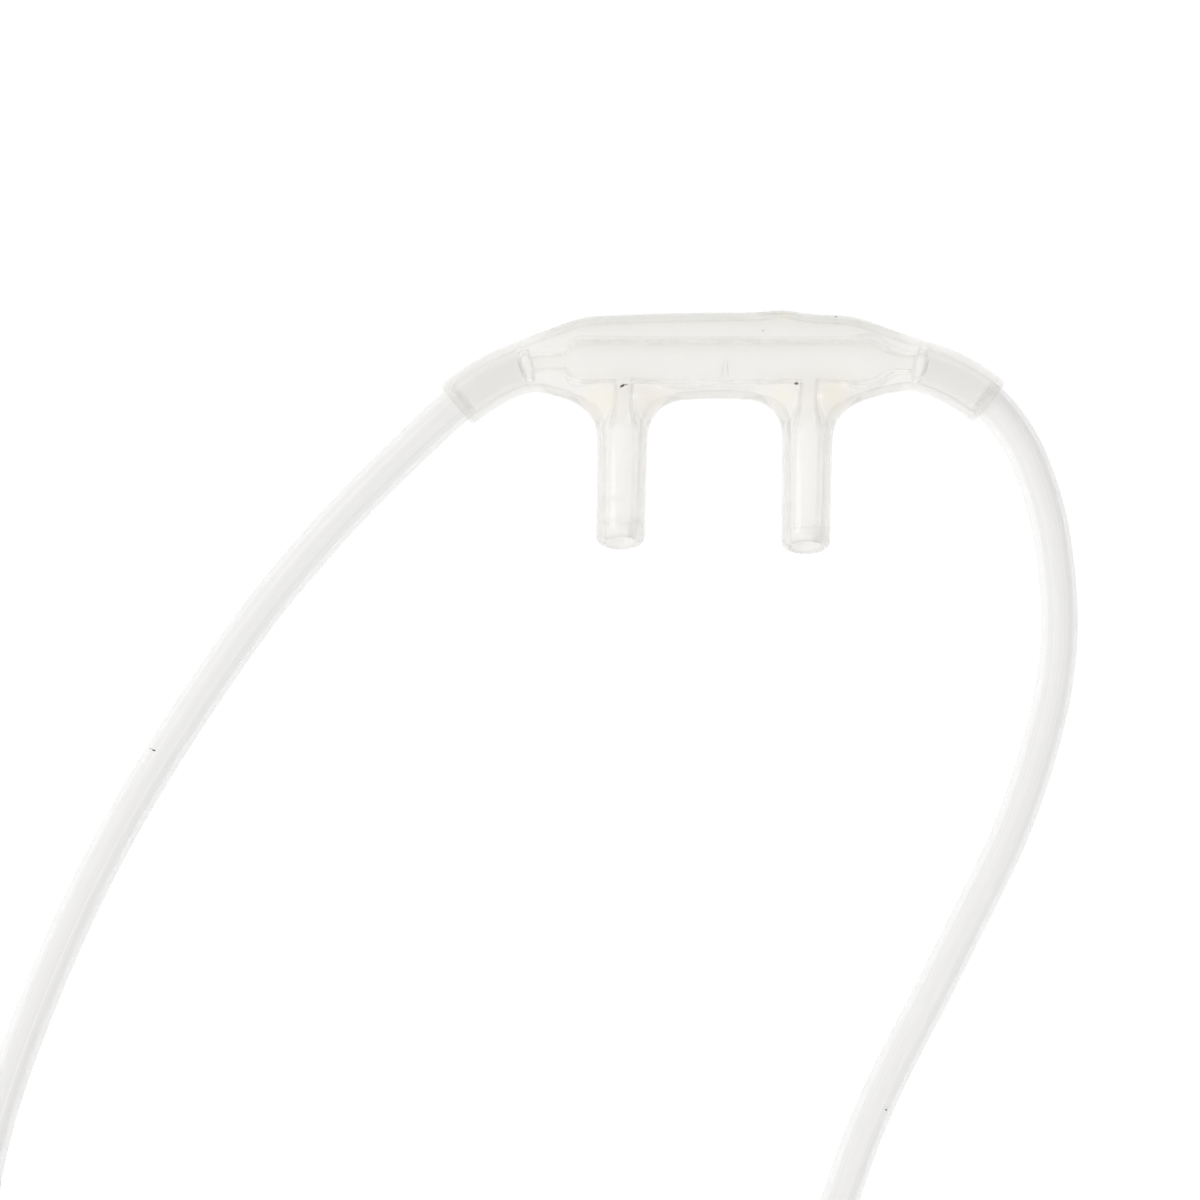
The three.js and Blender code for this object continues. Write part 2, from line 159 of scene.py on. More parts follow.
def coil_turns(side):
    """A helix: radius fixed, height rising one pitch a turn. Both tubes leave together, so
    the one that joins later starts higher."""
    turns = COIL_TURNS[side]
    gone = np.linspace(0, turns, int(turns * POINTS_A_TURN) + 1)
    angle = np.radians(COIL_START[side]) + 2 * np.pi * gone
    radius = COIL_DIAMETER / 2 - SIDES[side] * COIL_LANE / 2
    late = max(COIL_TURNS.values()) - turns
    return np.stack([
        COIL_CENTRE[0] + radius * np.cos(angle),
        COIL_CENTRE[1] + radius * np.sin(angle),
        COIL_FLOOR + COIL_PITCH * (gone + late),
    ], axis=1)


# %% One smooth line through all the points


def smooth_line(points, step):
    """A natural cubic spline: the second derivatives m at the points solve one linear system,
    and between two points the curve is the cubic that those two m and the two points fix.
    The result is then read off at even steps along its length."""
    points = np.asarray(points, float)
    gap = np.linalg.norm(np.diff(points, axis=0), axis=1)
    count = len(points)
    system = np.eye(count)
    inside = np.arange(1, count - 1)
    system[inside, inside - 1] = gap[:-1]
    system[inside, inside] = 2 * (gap[:-1] + gap[1:])
    system[inside, inside + 1] = gap[1:]
    slope = np.diff(points, axis=0) / gap[:, None]
    right = np.zeros_like(points)
    right[1:-1] = 6 * np.diff(slope, axis=0)
    m = np.linalg.solve(system, right)
    knots = np.concatenate([[0], np.cumsum(gap)])
    along = np.linspace(0, knots[-1], 8 * int(knots[-1] / step))
    piece = np.clip(np.searchsorted(knots, along, side="right") - 1, 0, count - 2)
    g = gap[piece][:, None]
    b = (along - knots[piece])[:, None] / g
    a = 1 - b
    line = a * points[piece] + b * points[piece + 1]
    line += ((a**3 - a) * m[piece] + (b**3 - b) * m[piece + 1]) * g**2 / 6
    length = np.concatenate([[0], np.cumsum(np.linalg.norm(np.diff(line, axis=0), axis=1))])
    even = np.linspace(0, length[-1], int(round(length[-1] / step)) + 1)
    line = np.stack([np.interp(even, length, line[:, k]) for k in range(3)], axis=1)
    line[:, 2] = np.maximum(line[:, 2], COIL_FLOOR)
    return line


# %% Both tubes' lines
TUBE_STEP = 0.8


def tube_line(side):
    """The whole route of one tube, from its socket in the facepiece to the one in the Y."""
    y = TWIN_Y + SIDES[side] * TWIN_PITCH / 2
    straight = [(x, y, TWIN_Z) for x in (*STRAIGHT_X, WYE_X + WYE_TUBE_DEPTH)]
    points = [in_sleeve(side), ROUTES[side], coil_turns(side), TAILS[side], straight]
    return smooth_line(np.vstack(points), TUBE_STEP)


lines = {side: tube_line(side) for side in SIDES}

# %% [markdown]
# ## Tubes as surfaces
# The hose is clear, so its bore shows and has to be real. A ring of points carried along the
# line gives the outer skin, a smaller ring the bore, and two flat washers close the ends.

# %% Mesh helpers


def make_mesh(name, vertices, faces, uv=None):
    """A mesh object from arrays in metres, smooth shaded, with an optional UV for each
    corner of each face."""
    mesh = bpy.data.meshes.new(name)
    mesh.from_pydata(vertices, [], faces.tolist())
    mesh.polygons.foreach_set("use_smooth", np.ones(len(faces), bool))
    if uv is not None:
        layer = mesh.uv_layers.new(name="along")
        layer.data.foreach_set("uv", uv.reshape(-1).astype(np.float32))
    mesh.validate()
    piece = bpy.data.objects.new(name, mesh)
    bpy.context.scene.collection.objects.link(piece)
    return piece


def grid_faces(rows, columns, first=0, closed_rows=False):
    """Quads over a grid of rows x columns points whose columns close on themselves."""
    row = np.arange(rows if closed_rows else rows - 1)[:, None]
    column = np.arange(columns)[None, :]
    ahead, beside = (row + 1) % rows, (column + 1) % columns
    corners = [row * columns + column, row * columns + beside,
               ahead * columns + beside, ahead * columns + column]
    return first + np.stack(np.broadcast_arrays(*corners), axis=-1).reshape(-1, 4)


def line_frame(line):
    """Directions along, across and up at each point of a line that is never upright."""
    along = np.gradient(line, axis=0)
    along /= np.linalg.norm(along, axis=1)[:, None]
    across = np.cross([0, 0, 1], along)
    across /= np.linalg.norm(across, axis=1)[:, None]
    return along, across, np.cross(along, across)


# %% The two tubes
TUBE_OD, TUBE_BORE = 3.3, 2.1
TUBE_SIDES = 32


def hose_surface(line, outer, bore, sides):
    """Surface S(t, a) = line(t) + r (cos a across + sin a up). One closed profile goes out
    along the outer radius and back along the bore, so the whole hose is one closed grid."""
    along, across, up = line_frame(line)
    order = np.concatenate([np.arange(len(line)), np.arange(len(line))[::-1]])
    radius = np.repeat([outer, bore], len(line))
    angle = np.linspace(0, 2 * np.pi, sides, endpoint=False)
    cosine, sine = np.cos(angle)[:, None], np.sin(angle)[:, None]
    spoke = across[order][:, None] * cosine + up[order][:, None] * sine
    points = line[order][:, None] + radius[:, None, None] * spoke
    faces = grid_faces(len(order), sides, closed_rows=True)
    length = np.concatenate([[0], np.cumsum(np.linalg.norm(np.diff(line, axis=0), axis=1))])
    rows, columns = np.divmod(faces, sides)
    turn = columns / sides
    turn[:, 1:3] = np.where(turn[:, 1:3] < turn[:, :1], 1.0, turn[:, 1:3])
    uv = np.stack([turn, length[order][rows] * MM], axis=-1)
    return points.reshape(-1, 3) * MM, faces[:, ::-1], uv[:, ::-1]


def make_tube(side):
    """One side tube, whole, from socket to socket."""
    points, faces, uv = hose_surface(lines[side], TUBE_OD / 2, TUBE_BORE / 2, TUBE_SIDES)
    return make_mesh(f"{side}_hose", points, faces, uv)


tubes = {side: make_tube(side) for side in SIDES}
print("tube faces:", [len(tube.data.polygons) for tube in tubes.values()])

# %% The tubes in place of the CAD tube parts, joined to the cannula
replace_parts(tubes["left"], "left_tube", "left_tube_end", "tube_coil")
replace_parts(tubes["right"], "right_tube", "right_tube_end")
for side, tube in tubes.items():
    line = lines[side] * MM
    mouth = in_sleeve(side)[-1]
    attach(tube, "cannula")
    ["y_connector", "slider"] if side == "left" else ["y_connector"]

# %% [markdown]
# ## The facepiece
# The moulding branches: a hollow body with two prongs that flare out of it and a sleeve at
# each end. No single grid of two parameters can branch, and boolean cuts leave sharp seams
# where a soft moulding has rounded ones. So the shape is written as a distance field, a
# function that is negative inside the vinyl, with forms blended by a smooth minimum. The
# skin where it is zero is then netted with quads.

# %% Sizes of the moulding in millimetres
BODY_HEIGHT, BODY_DEPTH, BODY_SQUARENESS = 7.7, 5.5, 2.4
NECK_START = {"left": 11.2, "right": 10.4}
NECK_END = {"left": 19.0, "right": 18.2}
SLEEVE_OD, SLEEVE_ROUND = 4.6, 0.25
POCKET_D, POCKET_LENGTH = 3.2, 1.0  # the air pocket between a tube's end and its seat
GATE_X, GATE_RISE, GATE_LENGTH = 5.2, 0.27, 5.6  # the swelling that the mould's gate leaves
SKIRT_DROP, SKIRT_LENGTH = 0.5, 4.5  # the body sags a little round each prong's root
CAVITY_LENGTH, CAVITY_HEIGHT, CAVITY_DEPTH, CAVITY_DROP = 29.1, 4.1, 3.1, 0.55
LUMEN_D = 1.5
CHANNEL_BLEND = {"left": 0.3, "right": 2.4}  # the cavity's right end tapers into its channel
PRONG_SPACING, PRONG_SHIFT, PRONG_LEAN = 16.6, -0.66, 1.35
PRONG_REACH = {"left": 16.9, "right": 17.3}
PRONG_OD, PRONG_TIP_OD, PRONG_BORE = 4.6, 4.35, 2.9
PRONG_THROAT, THROAT_LENGTH = 1.7, 3.2
PRONG_TILT, PRONG_FLARE = 20.0, 3.2
TIP_ROUND, EDGE_ROUND, UNDERSIDE_ROUND = 0.4, 0.14, 0.3
PRONG_ROOT_Y = -BODY_HEIGHT / 2
PRONG_ROOT_INSET = 0.4  # how far a prong's form reaches into the body
# How far the edges between two hollows are rounded
BORE_ROUND, BORE_BLEND, PASSAGE_ROUND, POCKET_ROUND = 0.6, 0.3, 0.2, 0.5

# %% Blending of fields


def soft_min(a, b, reach):
    """The smaller of two distances, rounded off where they differ by less than the reach."""
    near = np.maximum(reach - np.abs(a - b), 0) / reach
    return np.minimum(a, b) - near**2 * reach / 4


def soft_max(a, b, reach):
    """The larger of two distances, rounded off in the same way."""
    return -soft_min(-a, -b, reach)


def smooth_step(value, low, high):
    """0 below low, 1 above high, and the cubic 3t^2 - 2t^3 between them."""
    t = np.clip((value - low) / (high - low), 0, 1)
    return t * t * (3 - 2 * t)


# %% Place beside the middle line


def beside_middle(x, y):
    """Finds, for each point, the nearest place u on the middle line by four Newton steps, and
    gives u, the offset across the line and how far the point lies past a mouth."""
    u = np.clip(x, -HALF_SPAN, HALF_SPAN)
    reach = 0.01
    for _ in range(4):
        slope = (middle_line(u + reach) - middle_line(u - reach)) / (2 * reach)
        move = ((x - u) + (y - middle_line(u)) * slope) / (1 + slope**2)
        u = np.clip(u + move, -HALF_SPAN, HALF_SPAN)
    steep = np.sqrt(1 + slope**2)
    across = ((y - middle_line(u)) - slope * (x - u)) / steep
    beyond = ((x - u) + slope * (y - middle_line(u))) / steep * np.sign(u)
    return u, across, np.abs(u) - HALF_SPAN + beyond


def oval_distance(across, upward, half_width, half_height, squareness):
    """Distance to a superellipse: (|a/w|^n + |b/h|^n)^(1/n) - 1, over the size of its
    gradient, which makes it a true length near the skin."""
    a = np.abs(across) / half_width + 1e-6
    b = np.abs(upward) / half_height + 1e-6
    total = (a**squareness + b**squareness) ** (1 / squareness)
    grade = total ** (1 - squareness)
    size = np.hypot(a ** (squareness - 1) / half_width, b ** (squareness - 1) / half_height)
    return (total - 1) / (grade * size)


# %% Forms of the moulding


def prong_x(side):
    """Where the middle of a prong's root lies along the body."""
    return SIDES[side] * PRONG_SPACING / 2 + PRONG_SHIFT


def body_field(x, y, z):
    """The body and both sleeves: an oval section carried along the middle line. Its height
    shrinks to the sleeve's past the neck."""
    u, across, past = beside_middle(x, y)
    share = sum(smooth_step(SIDES[side] * u, NECK_START[side], NECK_END[side]) for side in SIDES)
    height = BODY_HEIGHT + (SLEEVE_OD - BODY_HEIGHT) * share
    depth = BODY_DEPTH + (SLEEVE_OD - BODY_DEPTH) * share
    squareness = BODY_SQUARENESS + (2 - BODY_SQUARENESS) * share
    swelling = GATE_RISE * np.exp(-2 * ((x - GATE_X) / (GATE_LENGTH / 2)) ** 2)
    shift = swelling * np.clip(across / (BODY_HEIGHT / 2), 0, 1) ** 4
    for side in SIDES:
        skirt = SKIRT_DROP * np.exp(-(((x - prong_x(side)) / SKIRT_LENGTH) ** 2))
        shift = shift - skirt * np.clip(-across / (BODY_HEIGHT / 2), 0, 1) ** 3
    skin = oval_distance(across - shift, z - AXIS_Z, height / 2, depth / 2, squareness)
    return soft_max(skin, past, SLEEVE_ROUND * 2)


def along_prong(side, x, y, z):
    """The prong's middle line is straight inside the body and an arc outside it that curves
    up. Gives the distance along it from the body's edge and the distance away from it."""
    radius = (PRONG_REACH[side] + PRONG_ROOT_Y) / np.sin(np.radians(PRONG_TILT))
    out = PRONG_ROOT_Y - y
    below = AXIS_Z + radius - z
    angle = np.arctan2(np.maximum(out, 0), below)
    gone = np.where(out > 0, radius * angle, out)
    upward = np.where(out > 0, radius - np.hypot(out, below), z - AXIS_Z)
    forward = np.where(out > 0, radius * np.sin(angle), out)
    lean = np.radians(PRONG_LEAN)
    sideways = (x - prong_x(side) + forward * np.tan(lean)) * np.cos(lean)
    return gone, np.hypot(sideways, upward), radius * np.radians(PRONG_TILT)


def prong_field(side, x, y, z):
    """A round prong that tapers a little to a rounded mouth."""
    gone, away, length = along_prong(side, x, y, z)
    taper = np.clip(gone / length, 0, 1)
    skin = away - (PRONG_OD + (PRONG_TIP_OD - PRONG_OD) * taper) / 2
    skin = skin + np.maximum(-PRONG_ROOT_INSET - gone, 0)
    return soft_max(skin, gone - length, TIP_ROUND * 2)


def hollow_field(x, y, z):
    """Cavity, prong bores and passages, all run together. The tubes are bonded into their
    sleeves, so there the moulding is solid up to the tube's own skin, and only a short air
    pocket is left between a tube's end and its seat."""
    upward = (z - AXIS_Z) * CAVITY_HEIGHT / CAVITY_DEPTH
    straight = (CAVITY_LENGTH - CAVITY_HEIGHT) / 2
    out = np.maximum(np.abs(x) - straight, 0)
    hollow = np.sqrt(out**2 + (y + CAVITY_DROP) ** 2 + upward**2) - CAVITY_HEIGHT / 2
    for side in SIDES:
        gone, away, _ = along_prong(side, x, y, z)
        bore = PRONG_THROAT + (PRONG_BORE - PRONG_THROAT) * smooth_step(gone, 0, THROAT_LENGTH)
        bore = soft_max(away - bore / 2, PRONG_ROOT_Y + CAVITY_DROP - gone, BORE_ROUND)
        hollow = soft_min(hollow, bore, BORE_BLEND)
    u, across, past = beside_middle(x, y)
    end = HALF_SPAN - SOCKET_DEPTH
    start = CAVITY_LENGTH / 2 - CAVITY_HEIGHT / 4
    rise = (-CAVITY_DROP - middle_line(u)) * np.clip((end - np.abs(u)) / (end - start), 0, 1)
    passage = np.hypot(across - rise, z - AXIS_Z) - LUMEN_D / 2
    ends = np.maximum(start - np.abs(u), np.abs(u) - end - PASSAGE_ROUND)
    passage = soft_max(passage, ends, PASSAGE_ROUND)
    blend = np.where(x < 0, CHANNEL_BLEND["left"], CHANNEL_BLEND["right"])
    hollow = soft_min(hollow, passage, blend)
    pocket = np.hypot(across, z - AXIS_Z) - POCKET_D / 2
    ends = np.abs(np.abs(u) - end + POCKET_LENGTH / 2) - POCKET_LENGTH / 2
    return soft_min(hollow, soft_max(pocket, ends, POCKET_ROUND), PASSAGE_ROUND)


def facepiece_field(x, y, z):
    """The outer forms blended together, flat where they meet the table, less the hollows."""
    outer = body_field(x, y, z)
    for side in SIDES:
        outer = soft_min(outer, prong_field(side, x, y, z), PRONG_FLARE)
    outer = soft_max(outer, AXIS_Z - BODY_DEPTH / 2 - z, UNDERSIDE_ROUND)
    return soft_max(outer, -hollow_field(x, y, z), EDGE_ROUND)


# %% [markdown]
# ## From a field to a mesh
# Marching cubes would give a field's skin as thin, uneven triangles, which show in a clear
# and glossy piece. A surface net gives even quads, and a few rounds of relaxing with Newton
# steps back onto the skin make them smooth. The normals come from the field itself.

# %% Netting a field
RELAX_ROUNDS = 4
NET_MARGIN = 4  # empty cells left round the solid's box


def net_surface(field, low, high, spacing):
    """Surface net: every grid cell that the skin passes through gets one point, the mean of
    where the skin cuts its edges, and every cut edge joins its four cells with a quad. All
    of it is whole-array work. Newton steps then bring the points right onto the skin."""
    axes = [np.arange(a, b + spacing, spacing) for a, b in zip(low, high)]
    grid = np.meshgrid(*axes, indexing="ij")
    value = field(*grid)
    inside = value < 0
    cells = np.array(value.shape) - 1
    total, count = np.zeros((*cells, 3)), np.zeros(cells)
    cuts = []
    for axis in range(3):
        near = [slice(None)] * 3
        far = [slice(None)] * 3
        near[axis], far[axis] = slice(None, -1), slice(1, None)
        near, far = tuple(near), tuple(far)
        cut = inside[near] != inside[far]
        share = np.where(cut, value[near] / np.where(cut, value[near] - value[far], 1), 0)
        place = np.stack([part[near] for part in grid], axis=-1)
        place[..., axis] += share * spacing
        others = [k for k in range(3) if k != axis]
        for first in (0, 1):
            for second in (0, 1):
                window = [slice(None)] * 3
                window[others[0]] = slice(first, first + cells[others[0]])
                window[others[1]] = slice(second, second + cells[others[1]])
                window = tuple(window)
                total += place[window] * cut[window][..., None]
                count += cut[window]
        cuts.append((axis, others, cut, inside[near]))
    used = count > 0
    points = total[used] / count[used][:, None]
    number = np.full(cells, -1)
    number[used] = np.arange(len(points))
    quads = []
    for axis, others, cut, starts_inside in cuts:
        trim = [slice(None)] * 3
        for other in others:
            trim[other] = slice(1, -1)
        trim = tuple(trim)
        where = np.argwhere(cut[trim])
        where[:, others[0]] += 1
        where[:, others[1]] += 1
        around = []
        for first, second in ((-1, -1), (0, -1), (0, 0), (-1, 0)):
            cell = where.copy()
            cell[:, others[0]] += first
            cell[:, others[1]] += second
            around.append(number[tuple(cell.T)])
        quad = np.stack(around, axis=1)
        turned = starts_inside[trim][cut[trim]] == (axis == 1)
        quads.append(np.where(turned[:, None], quad[:, ::-1], quad))
    quads = np.vstack(quads)
    for _ in range(RELAX_ROUNDS):
        points = onto_skin(field, relaxed(points, quads))
    return points, quads, field_slope(field, points)


def field_slope(field, points, reach=0.02):
    """The gradient of the field, from central differences. On the skin it is the normal."""
    return np.stack([
        field(*(points + reach * step).T) - field(*(points - reach * step).T)
        for step in np.eye(3)
    ], axis=1) / (2 * reach)


def onto_skin(field, points):
    """One Newton step along the slope of the field."""
    slope = field_slope(field, points)
    size = np.maximum((slope**2).sum(axis=1), 0.05)
    return points - (field(*points.T) / size)[:, None] * slope


def relaxed(points, quads):
    """Moves each point half way to the mean of the points it is joined to."""
    total, count = np.zeros_like(points), np.zeros(len(points))
    for step in (1, 3):
        beside = np.roll(quads, step, axis=1)
        np.add.at(total, quads.ravel(), points[beside.ravel()])
        np.add.at(count, quads.ravel(), 1)
    return (points + total / count[:, None]) / 2


def net_piece(name, field, low, high, spacing):
    """A netted skin as an object, shaded with the field's own normals."""
    points, quads, normals = net_surface(field, low, high, spacing)
    piece = make_mesh(name, points * MM, quads)
    normals /= np.linalg.norm(normals, axis=1)[:, None]
    piece.data.normals_split_custom_set_from_vertices(normals)
    return piece


# %% The facepiece's mesh
NET_SPACING = 0.19


def make_facepiece():
    """The whole moulding as one closed net."""
    low, high = (np.array(corner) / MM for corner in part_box("nasal_facepiece"))
    margin = NET_MARGIN * NET_SPACING
    piece = net_piece("facepiece", facepiece_field, low - margin, high + margin, NET_SPACING)
    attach(piece, "cannula")
    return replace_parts(piece, "nasal_facepiece")


facepiece = make_facepiece()
print("facepiece faces:", len(facepiece.data.polygons))

# %% [markdown]
# ## Slider and Y connector
# Both lie past the picture's edge, where the two tubes run side by side. The slider is a
# short oval sleeve, so it is one closed profile carried round an oval. Inside the Y
# connector two passages join into one, so it is a netted field like the facepiece.

# %% The slider
SLIDER_X, SLIDER_LENGTH = -3.5, 12.0
SLIDER_WIDTH, SLIDER_HEIGHT = 12.0, 7.4
SLIDER_BORE, SLIDER_EDGE = 3.9, 0.55
RIM_STEPS, ARC_STEPS = 6, 28


def oval_ring(half_gap, radius):
    """Two half circles joined by straights: centres half_gap to each side."""
    turn = np.linspace(-np.pi / 2, np.pi / 2, ARC_STEPS)
    turn = np.concatenate([turn, turn + np.pi])
    side = np.repeat([half_gap, -half_gap], ARC_STEPS)
    return side + radius[:, None] * np.cos(turn), radius[:, None] * np.sin(turn)


def make_slider():
    """Its wall's section is a rounded bar: along the outside, round one rim, back through
    the bore and round the other rim. Every point of it is an oval about the two tubes."""
    wall = (SLIDER_HEIGHT - SLIDER_BORE) / 2
    corner = np.linspace(0, np.pi / 2, RIM_STEPS)
    ends, depths = [], []
    for quarter, along_sign, depth in ((0, 1, 0), (1, 1, wall), (2, -1, wall), (3, -1, 0)):
        turn = corner + quarter * np.pi / 2
        inset = SLIDER_EDGE if depth == 0 else -SLIDER_EDGE
        ends.append(along_sign * (SLIDER_LENGTH / 2 - SLIDER_EDGE) + SLIDER_EDGE * np.sin(turn))
        depths.append(depth + inset - SLIDER_EDGE * np.cos(turn))
    x, depth = np.concatenate(ends), np.concatenate(depths)
    half_gap = (SLIDER_WIDTH - SLIDER_HEIGHT) / 2
    y, z = oval_ring(half_gap, SLIDER_HEIGHT / 2 - depth)
    x = np.broadcast_to(SLIDER_X + x[:, None], y.shape)
    points = np.stack([x, TWIN_Y + y, TWIN_Z + z], axis=-1)
    faces = grid_faces(len(x), 2 * ARC_STEPS, closed_rows=True)[:, ::-1]
    piece = make_mesh("slider_sleeve", points.reshape(-1, 3) * MM, faces)
    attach(piece, "slider")
    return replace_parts(piece, "slider")


slider_sleeve = make_slider()
print("slider faces:", len(slider_sleeve.data.polygons))

# %% The Y connector
WYE_LENGTH, WYE_WIDTH, WYE_HEIGHT, WYE_END_OD = 20.5, 11.4, 7.4, 7.4
WYE_NECK_START, WYE_NECK_END = 0.3, 0.62  # shares of its length
WYE_EDGE = 0.5
WYE_PASSAGE, SUPPLY_BORE, SUPPLY_DEPTH = 2.1, 5.0, 9.0
PASSAGE_LAP = 1.0  # how far the two passages reach into the supply socket
SOCKET_ROUND, WYE_BLEND, WYE_ROUND = 0.6, 0.5, 0.3
WYE_NET = 0.26


def wye_field(x, y, z):
    """An oval bar that narrows to a round end, less the supply socket and two passages that
    lead from it to the bores of the tubes. The tubes are bonded in, like in the sleeves."""
    share = (x - WYE_X) / WYE_LENGTH
    across, upward = np.abs(y - TWIN_Y), z - TWIN_Z
    narrowing = smooth_step(share, WYE_NECK_START, WYE_NECK_END)
    width = WYE_WIDTH + (WYE_END_OD - WYE_WIDTH) * narrowing
    half_gap = (width - WYE_HEIGHT) / 2
    skin = np.hypot(np.maximum(across - half_gap, 0), upward) - WYE_HEIGHT / 2
    ends = np.abs(x - WYE_X - WYE_LENGTH / 2) - WYE_LENGTH / 2
    skin = soft_max(skin, ends, 2 * WYE_EDGE)
    bottom = WYE_X + WYE_LENGTH - SUPPLY_DEPTH
    seat = WYE_X + WYE_TUBE_DEPTH
    socket = soft_max(np.hypot(across, upward) - SUPPLY_BORE / 2, bottom - x, SOCKET_ROUND)
    meeting = bottom + PASSAGE_LAP
    near = np.clip((meeting - x) / (meeting - seat), 0, 1)
    passage = np.hypot(across - near * TWIN_PITCH / 2, upward) - WYE_PASSAGE / 2
    ends = np.maximum(seat - PASSAGE_ROUND - x, x - meeting)
    passage = soft_max(passage, ends, WYE_ROUND)
    return soft_max(skin, -soft_min(socket, passage, WYE_BLEND), WYE_ROUND)


def make_y_connector():
    """The connector as one closed net."""
    low, high = (np.array(corner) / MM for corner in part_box("y_connector"))
    margin = NET_MARGIN * WYE_NET
    piece = net_piece("wye_moulding", wye_field, low - margin, high + margin, WYE_NET)
    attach(piece, "cannula")
    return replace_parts(piece, "y_connector")


wye_moulding = make_y_connector()
print("connector faces:", len(wye_moulding.data.polygons))

# %% [markdown]
# ## Shader sums as Python sums
# Patterns are written as arithmetic on sockets, so a formula reads as one line.

# %% A socket that can be added and multiplied


class Socket:
    """Wraps one output socket. Operators add Math nodes, and node() adds any other node."""

    def __init__(self, tree, link):
        self.tree, self.link = tree, link

    def math(self, operation, *values):
        made = self.node("ShaderNodeMath", {"operation": operation}, values)
        return Socket(self.tree, made.outputs[0])

    def node(self, kind, settings, values):
        """A node of this type: settings first, then each input's value or link, by number
        or by name."""
        made = self.tree.nodes.new(kind)
        for key, setting in settings.items():
            setattr(made, key, setting)
        pairs = values.items() if isinstance(values, dict) else enumerate(values)
        for key, value in pairs:
            if isinstance(value, Socket):
                self.tree.links.new(value.link, made.inputs[key])
            else:
                made.inputs[key].default_value = value
        return made

    def out(self, kind, settings, values, output=0):
        """The same, giving one output back as a Socket."""
        return Socket(self.tree, self.node(kind, settings, values).outputs[output])

    def __add__(self, other):
        return self.math("ADD", self, other)

    __radd__ = __add__

    def __sub__(self, other):
        return self.math("SUBTRACT", self, other)

    def __rsub__(self, other):
        return self.math("SUBTRACT", other, self)

    def __mul__(self, other):
        return self.math("MULTIPLY", self, other)

    __rmul__ = __mul__


# %% [markdown]
# ## Clear soft vinyl
# The vinyl is clear but not quite. Part of the light goes straight through, part is bent,
# and part is scattered by a milky haze in the skin. Alpha and Transmission in the Principled
# shader give these shares. A Volume Absorption node gives the warm tint that grows with
# thickness. How much a skin shows differs: most outside, less in the hollows, and hardly at
# all where a tube is bonded in. It has to stay one material all the same, because depth is
# counted from where light enters a material to where it leaves the same one. So that share
# is stored on the points of each piece, in an attribute named cover.

# %% Shares of cover, and patches
# Each pair is the outer skin and the hollow's skin
COVER = {"body": (0.6, 0.5), "prong": (0.55, 0.3), "mouth": (0.6, 0.85), "sleeve": (0.3, 0.5)}
TUBE_COVER = {"free": (0.6, 0.3), "bonded": (0.01, 0.02)}
FITTING_COVER = 0.6
SLEEVE_START, MOUTH_DEPTH, PRONG_START = 17.6, 2.5, 1.5
# Yellowed vinyl round the prong roots, and two small yellowish spots on the back edge, one at the
# gate: centre (x, y), radius and strength
PATCHES = [
    (-11.0, -4.0, 1.9, 0.6), (-6.2, -4.1, 1.9, 0.5), (5.4, -3.6, 1.5, 0.4),
    (9.9, -3.7, 2.1, 0.6), (5.6, 3.4, 0.9, 0.6), (-6.0, 3.5, 1.0, 0.3),
]


def points_of(piece):
    """Every point of a piece, in millimetres, as columns x, y and z."""
    points = np.empty(3 * len(piece.data.vertices))
    piece.data.vertices.foreach_get("co", points)
    return points.reshape(-1, 3).T / MM


def store(piece, name, values):
    """Stores one number for each point of a piece, for its material to read."""
    layer = piece.data.attributes.new(name, "FLOAT", "POINT")
    layer.data.foreach_set("value", np.asarray(values, np.float32))


def cover_facepiece():
    """Cover, yellowing and painted shade of the facepiece, from the fields that give its shape.
    The painted shade lies along the back edge of the body and the back wall of the cavity: a grey
    band in place of the darker light that these rounded edges bend into view."""
    x, y, z = points_of(facepiece)
    outside, inside = (np.full(len(x), COVER["body"][skin]) for skin in (0, 1))
    areas = [("sleeve", smooth_step(np.abs(x), SLEEVE_START - 3, SLEEVE_START))]
    for side in SIDES:
        gone, away, length = along_prong(side, x, y, z)
        near = away < PRONG_OD
        areas.append(("prong", near * smooth_step(gone, PRONG_START, 2 * PRONG_START)))
        areas.append(("mouth", near * smooth_step(gone, length - MOUTH_DEPTH, length - 1)))
    for area, share in areas:
        outside = outside + (COVER[area][0] - outside) * share
        inside = inside + (COVER[area][1] - inside) * share
    hollow = smooth_step(hollow_field(x, y, z), 0.16, 0.04)
    store(facepiece, "cover", outside + (inside - outside) * hollow)
    yellow = sum(
        strength * np.exp(-((x - px) ** 2 + (y - py) ** 2) / (0.5 * radius**2))
        for px, py, radius, strength in PATCHES)
    store(facepiece, "yellow", np.clip(yellow, 0, 1))
    # Painted shade: grey towards the back edge of the body and the back wall of the cavity, in
    # place of the darker light that their rounding bends into view
    back_edge_shade = smooth_step((y - middle_line(x)) / (BODY_HEIGHT / 2), 0.55, 1.0)
    back_wall_shade = smooth_step((y + CAVITY_DROP) / (CAVITY_HEIGHT / 2), 0.45, 0.9)
    store(facepiece, "painted_shade", back_edge_shade + (back_wall_shade - back_edge_shade) * hollow)


def cover_tube(side):
    """Cover of a tube: less in its bore, and less again inside its two sockets."""
    rows = len(lines[side])
    row = np.arange(2 * rows).repeat(TUBE_SIDES)
    depth = np.minimum(row, 2 * rows - 1 - row) * TUBE_STEP
    bonded = (depth < SOCKET_DEPTH) | (depth > (rows - 1) * TUBE_STEP - WYE_TUBE_DEPTH)
    skin = (row >= rows).astype(int)
    cover = [np.array(TUBE_COVER[state])[skin] for state in ("free", "bonded")]
    store(tubes[side], "cover", np.where(bonded, cover[1], cover[0]))


cover_facepiece()
for side in SIDES:
    cover_tube(side)
for piece in (slider_sleeve, wye_moulding):
    store(piece, "cover", np.full(len(piece.data.vertices), FITTING_COVER))
print("cover stored on", len(facepiece.data.vertices), "points of the facepiece")

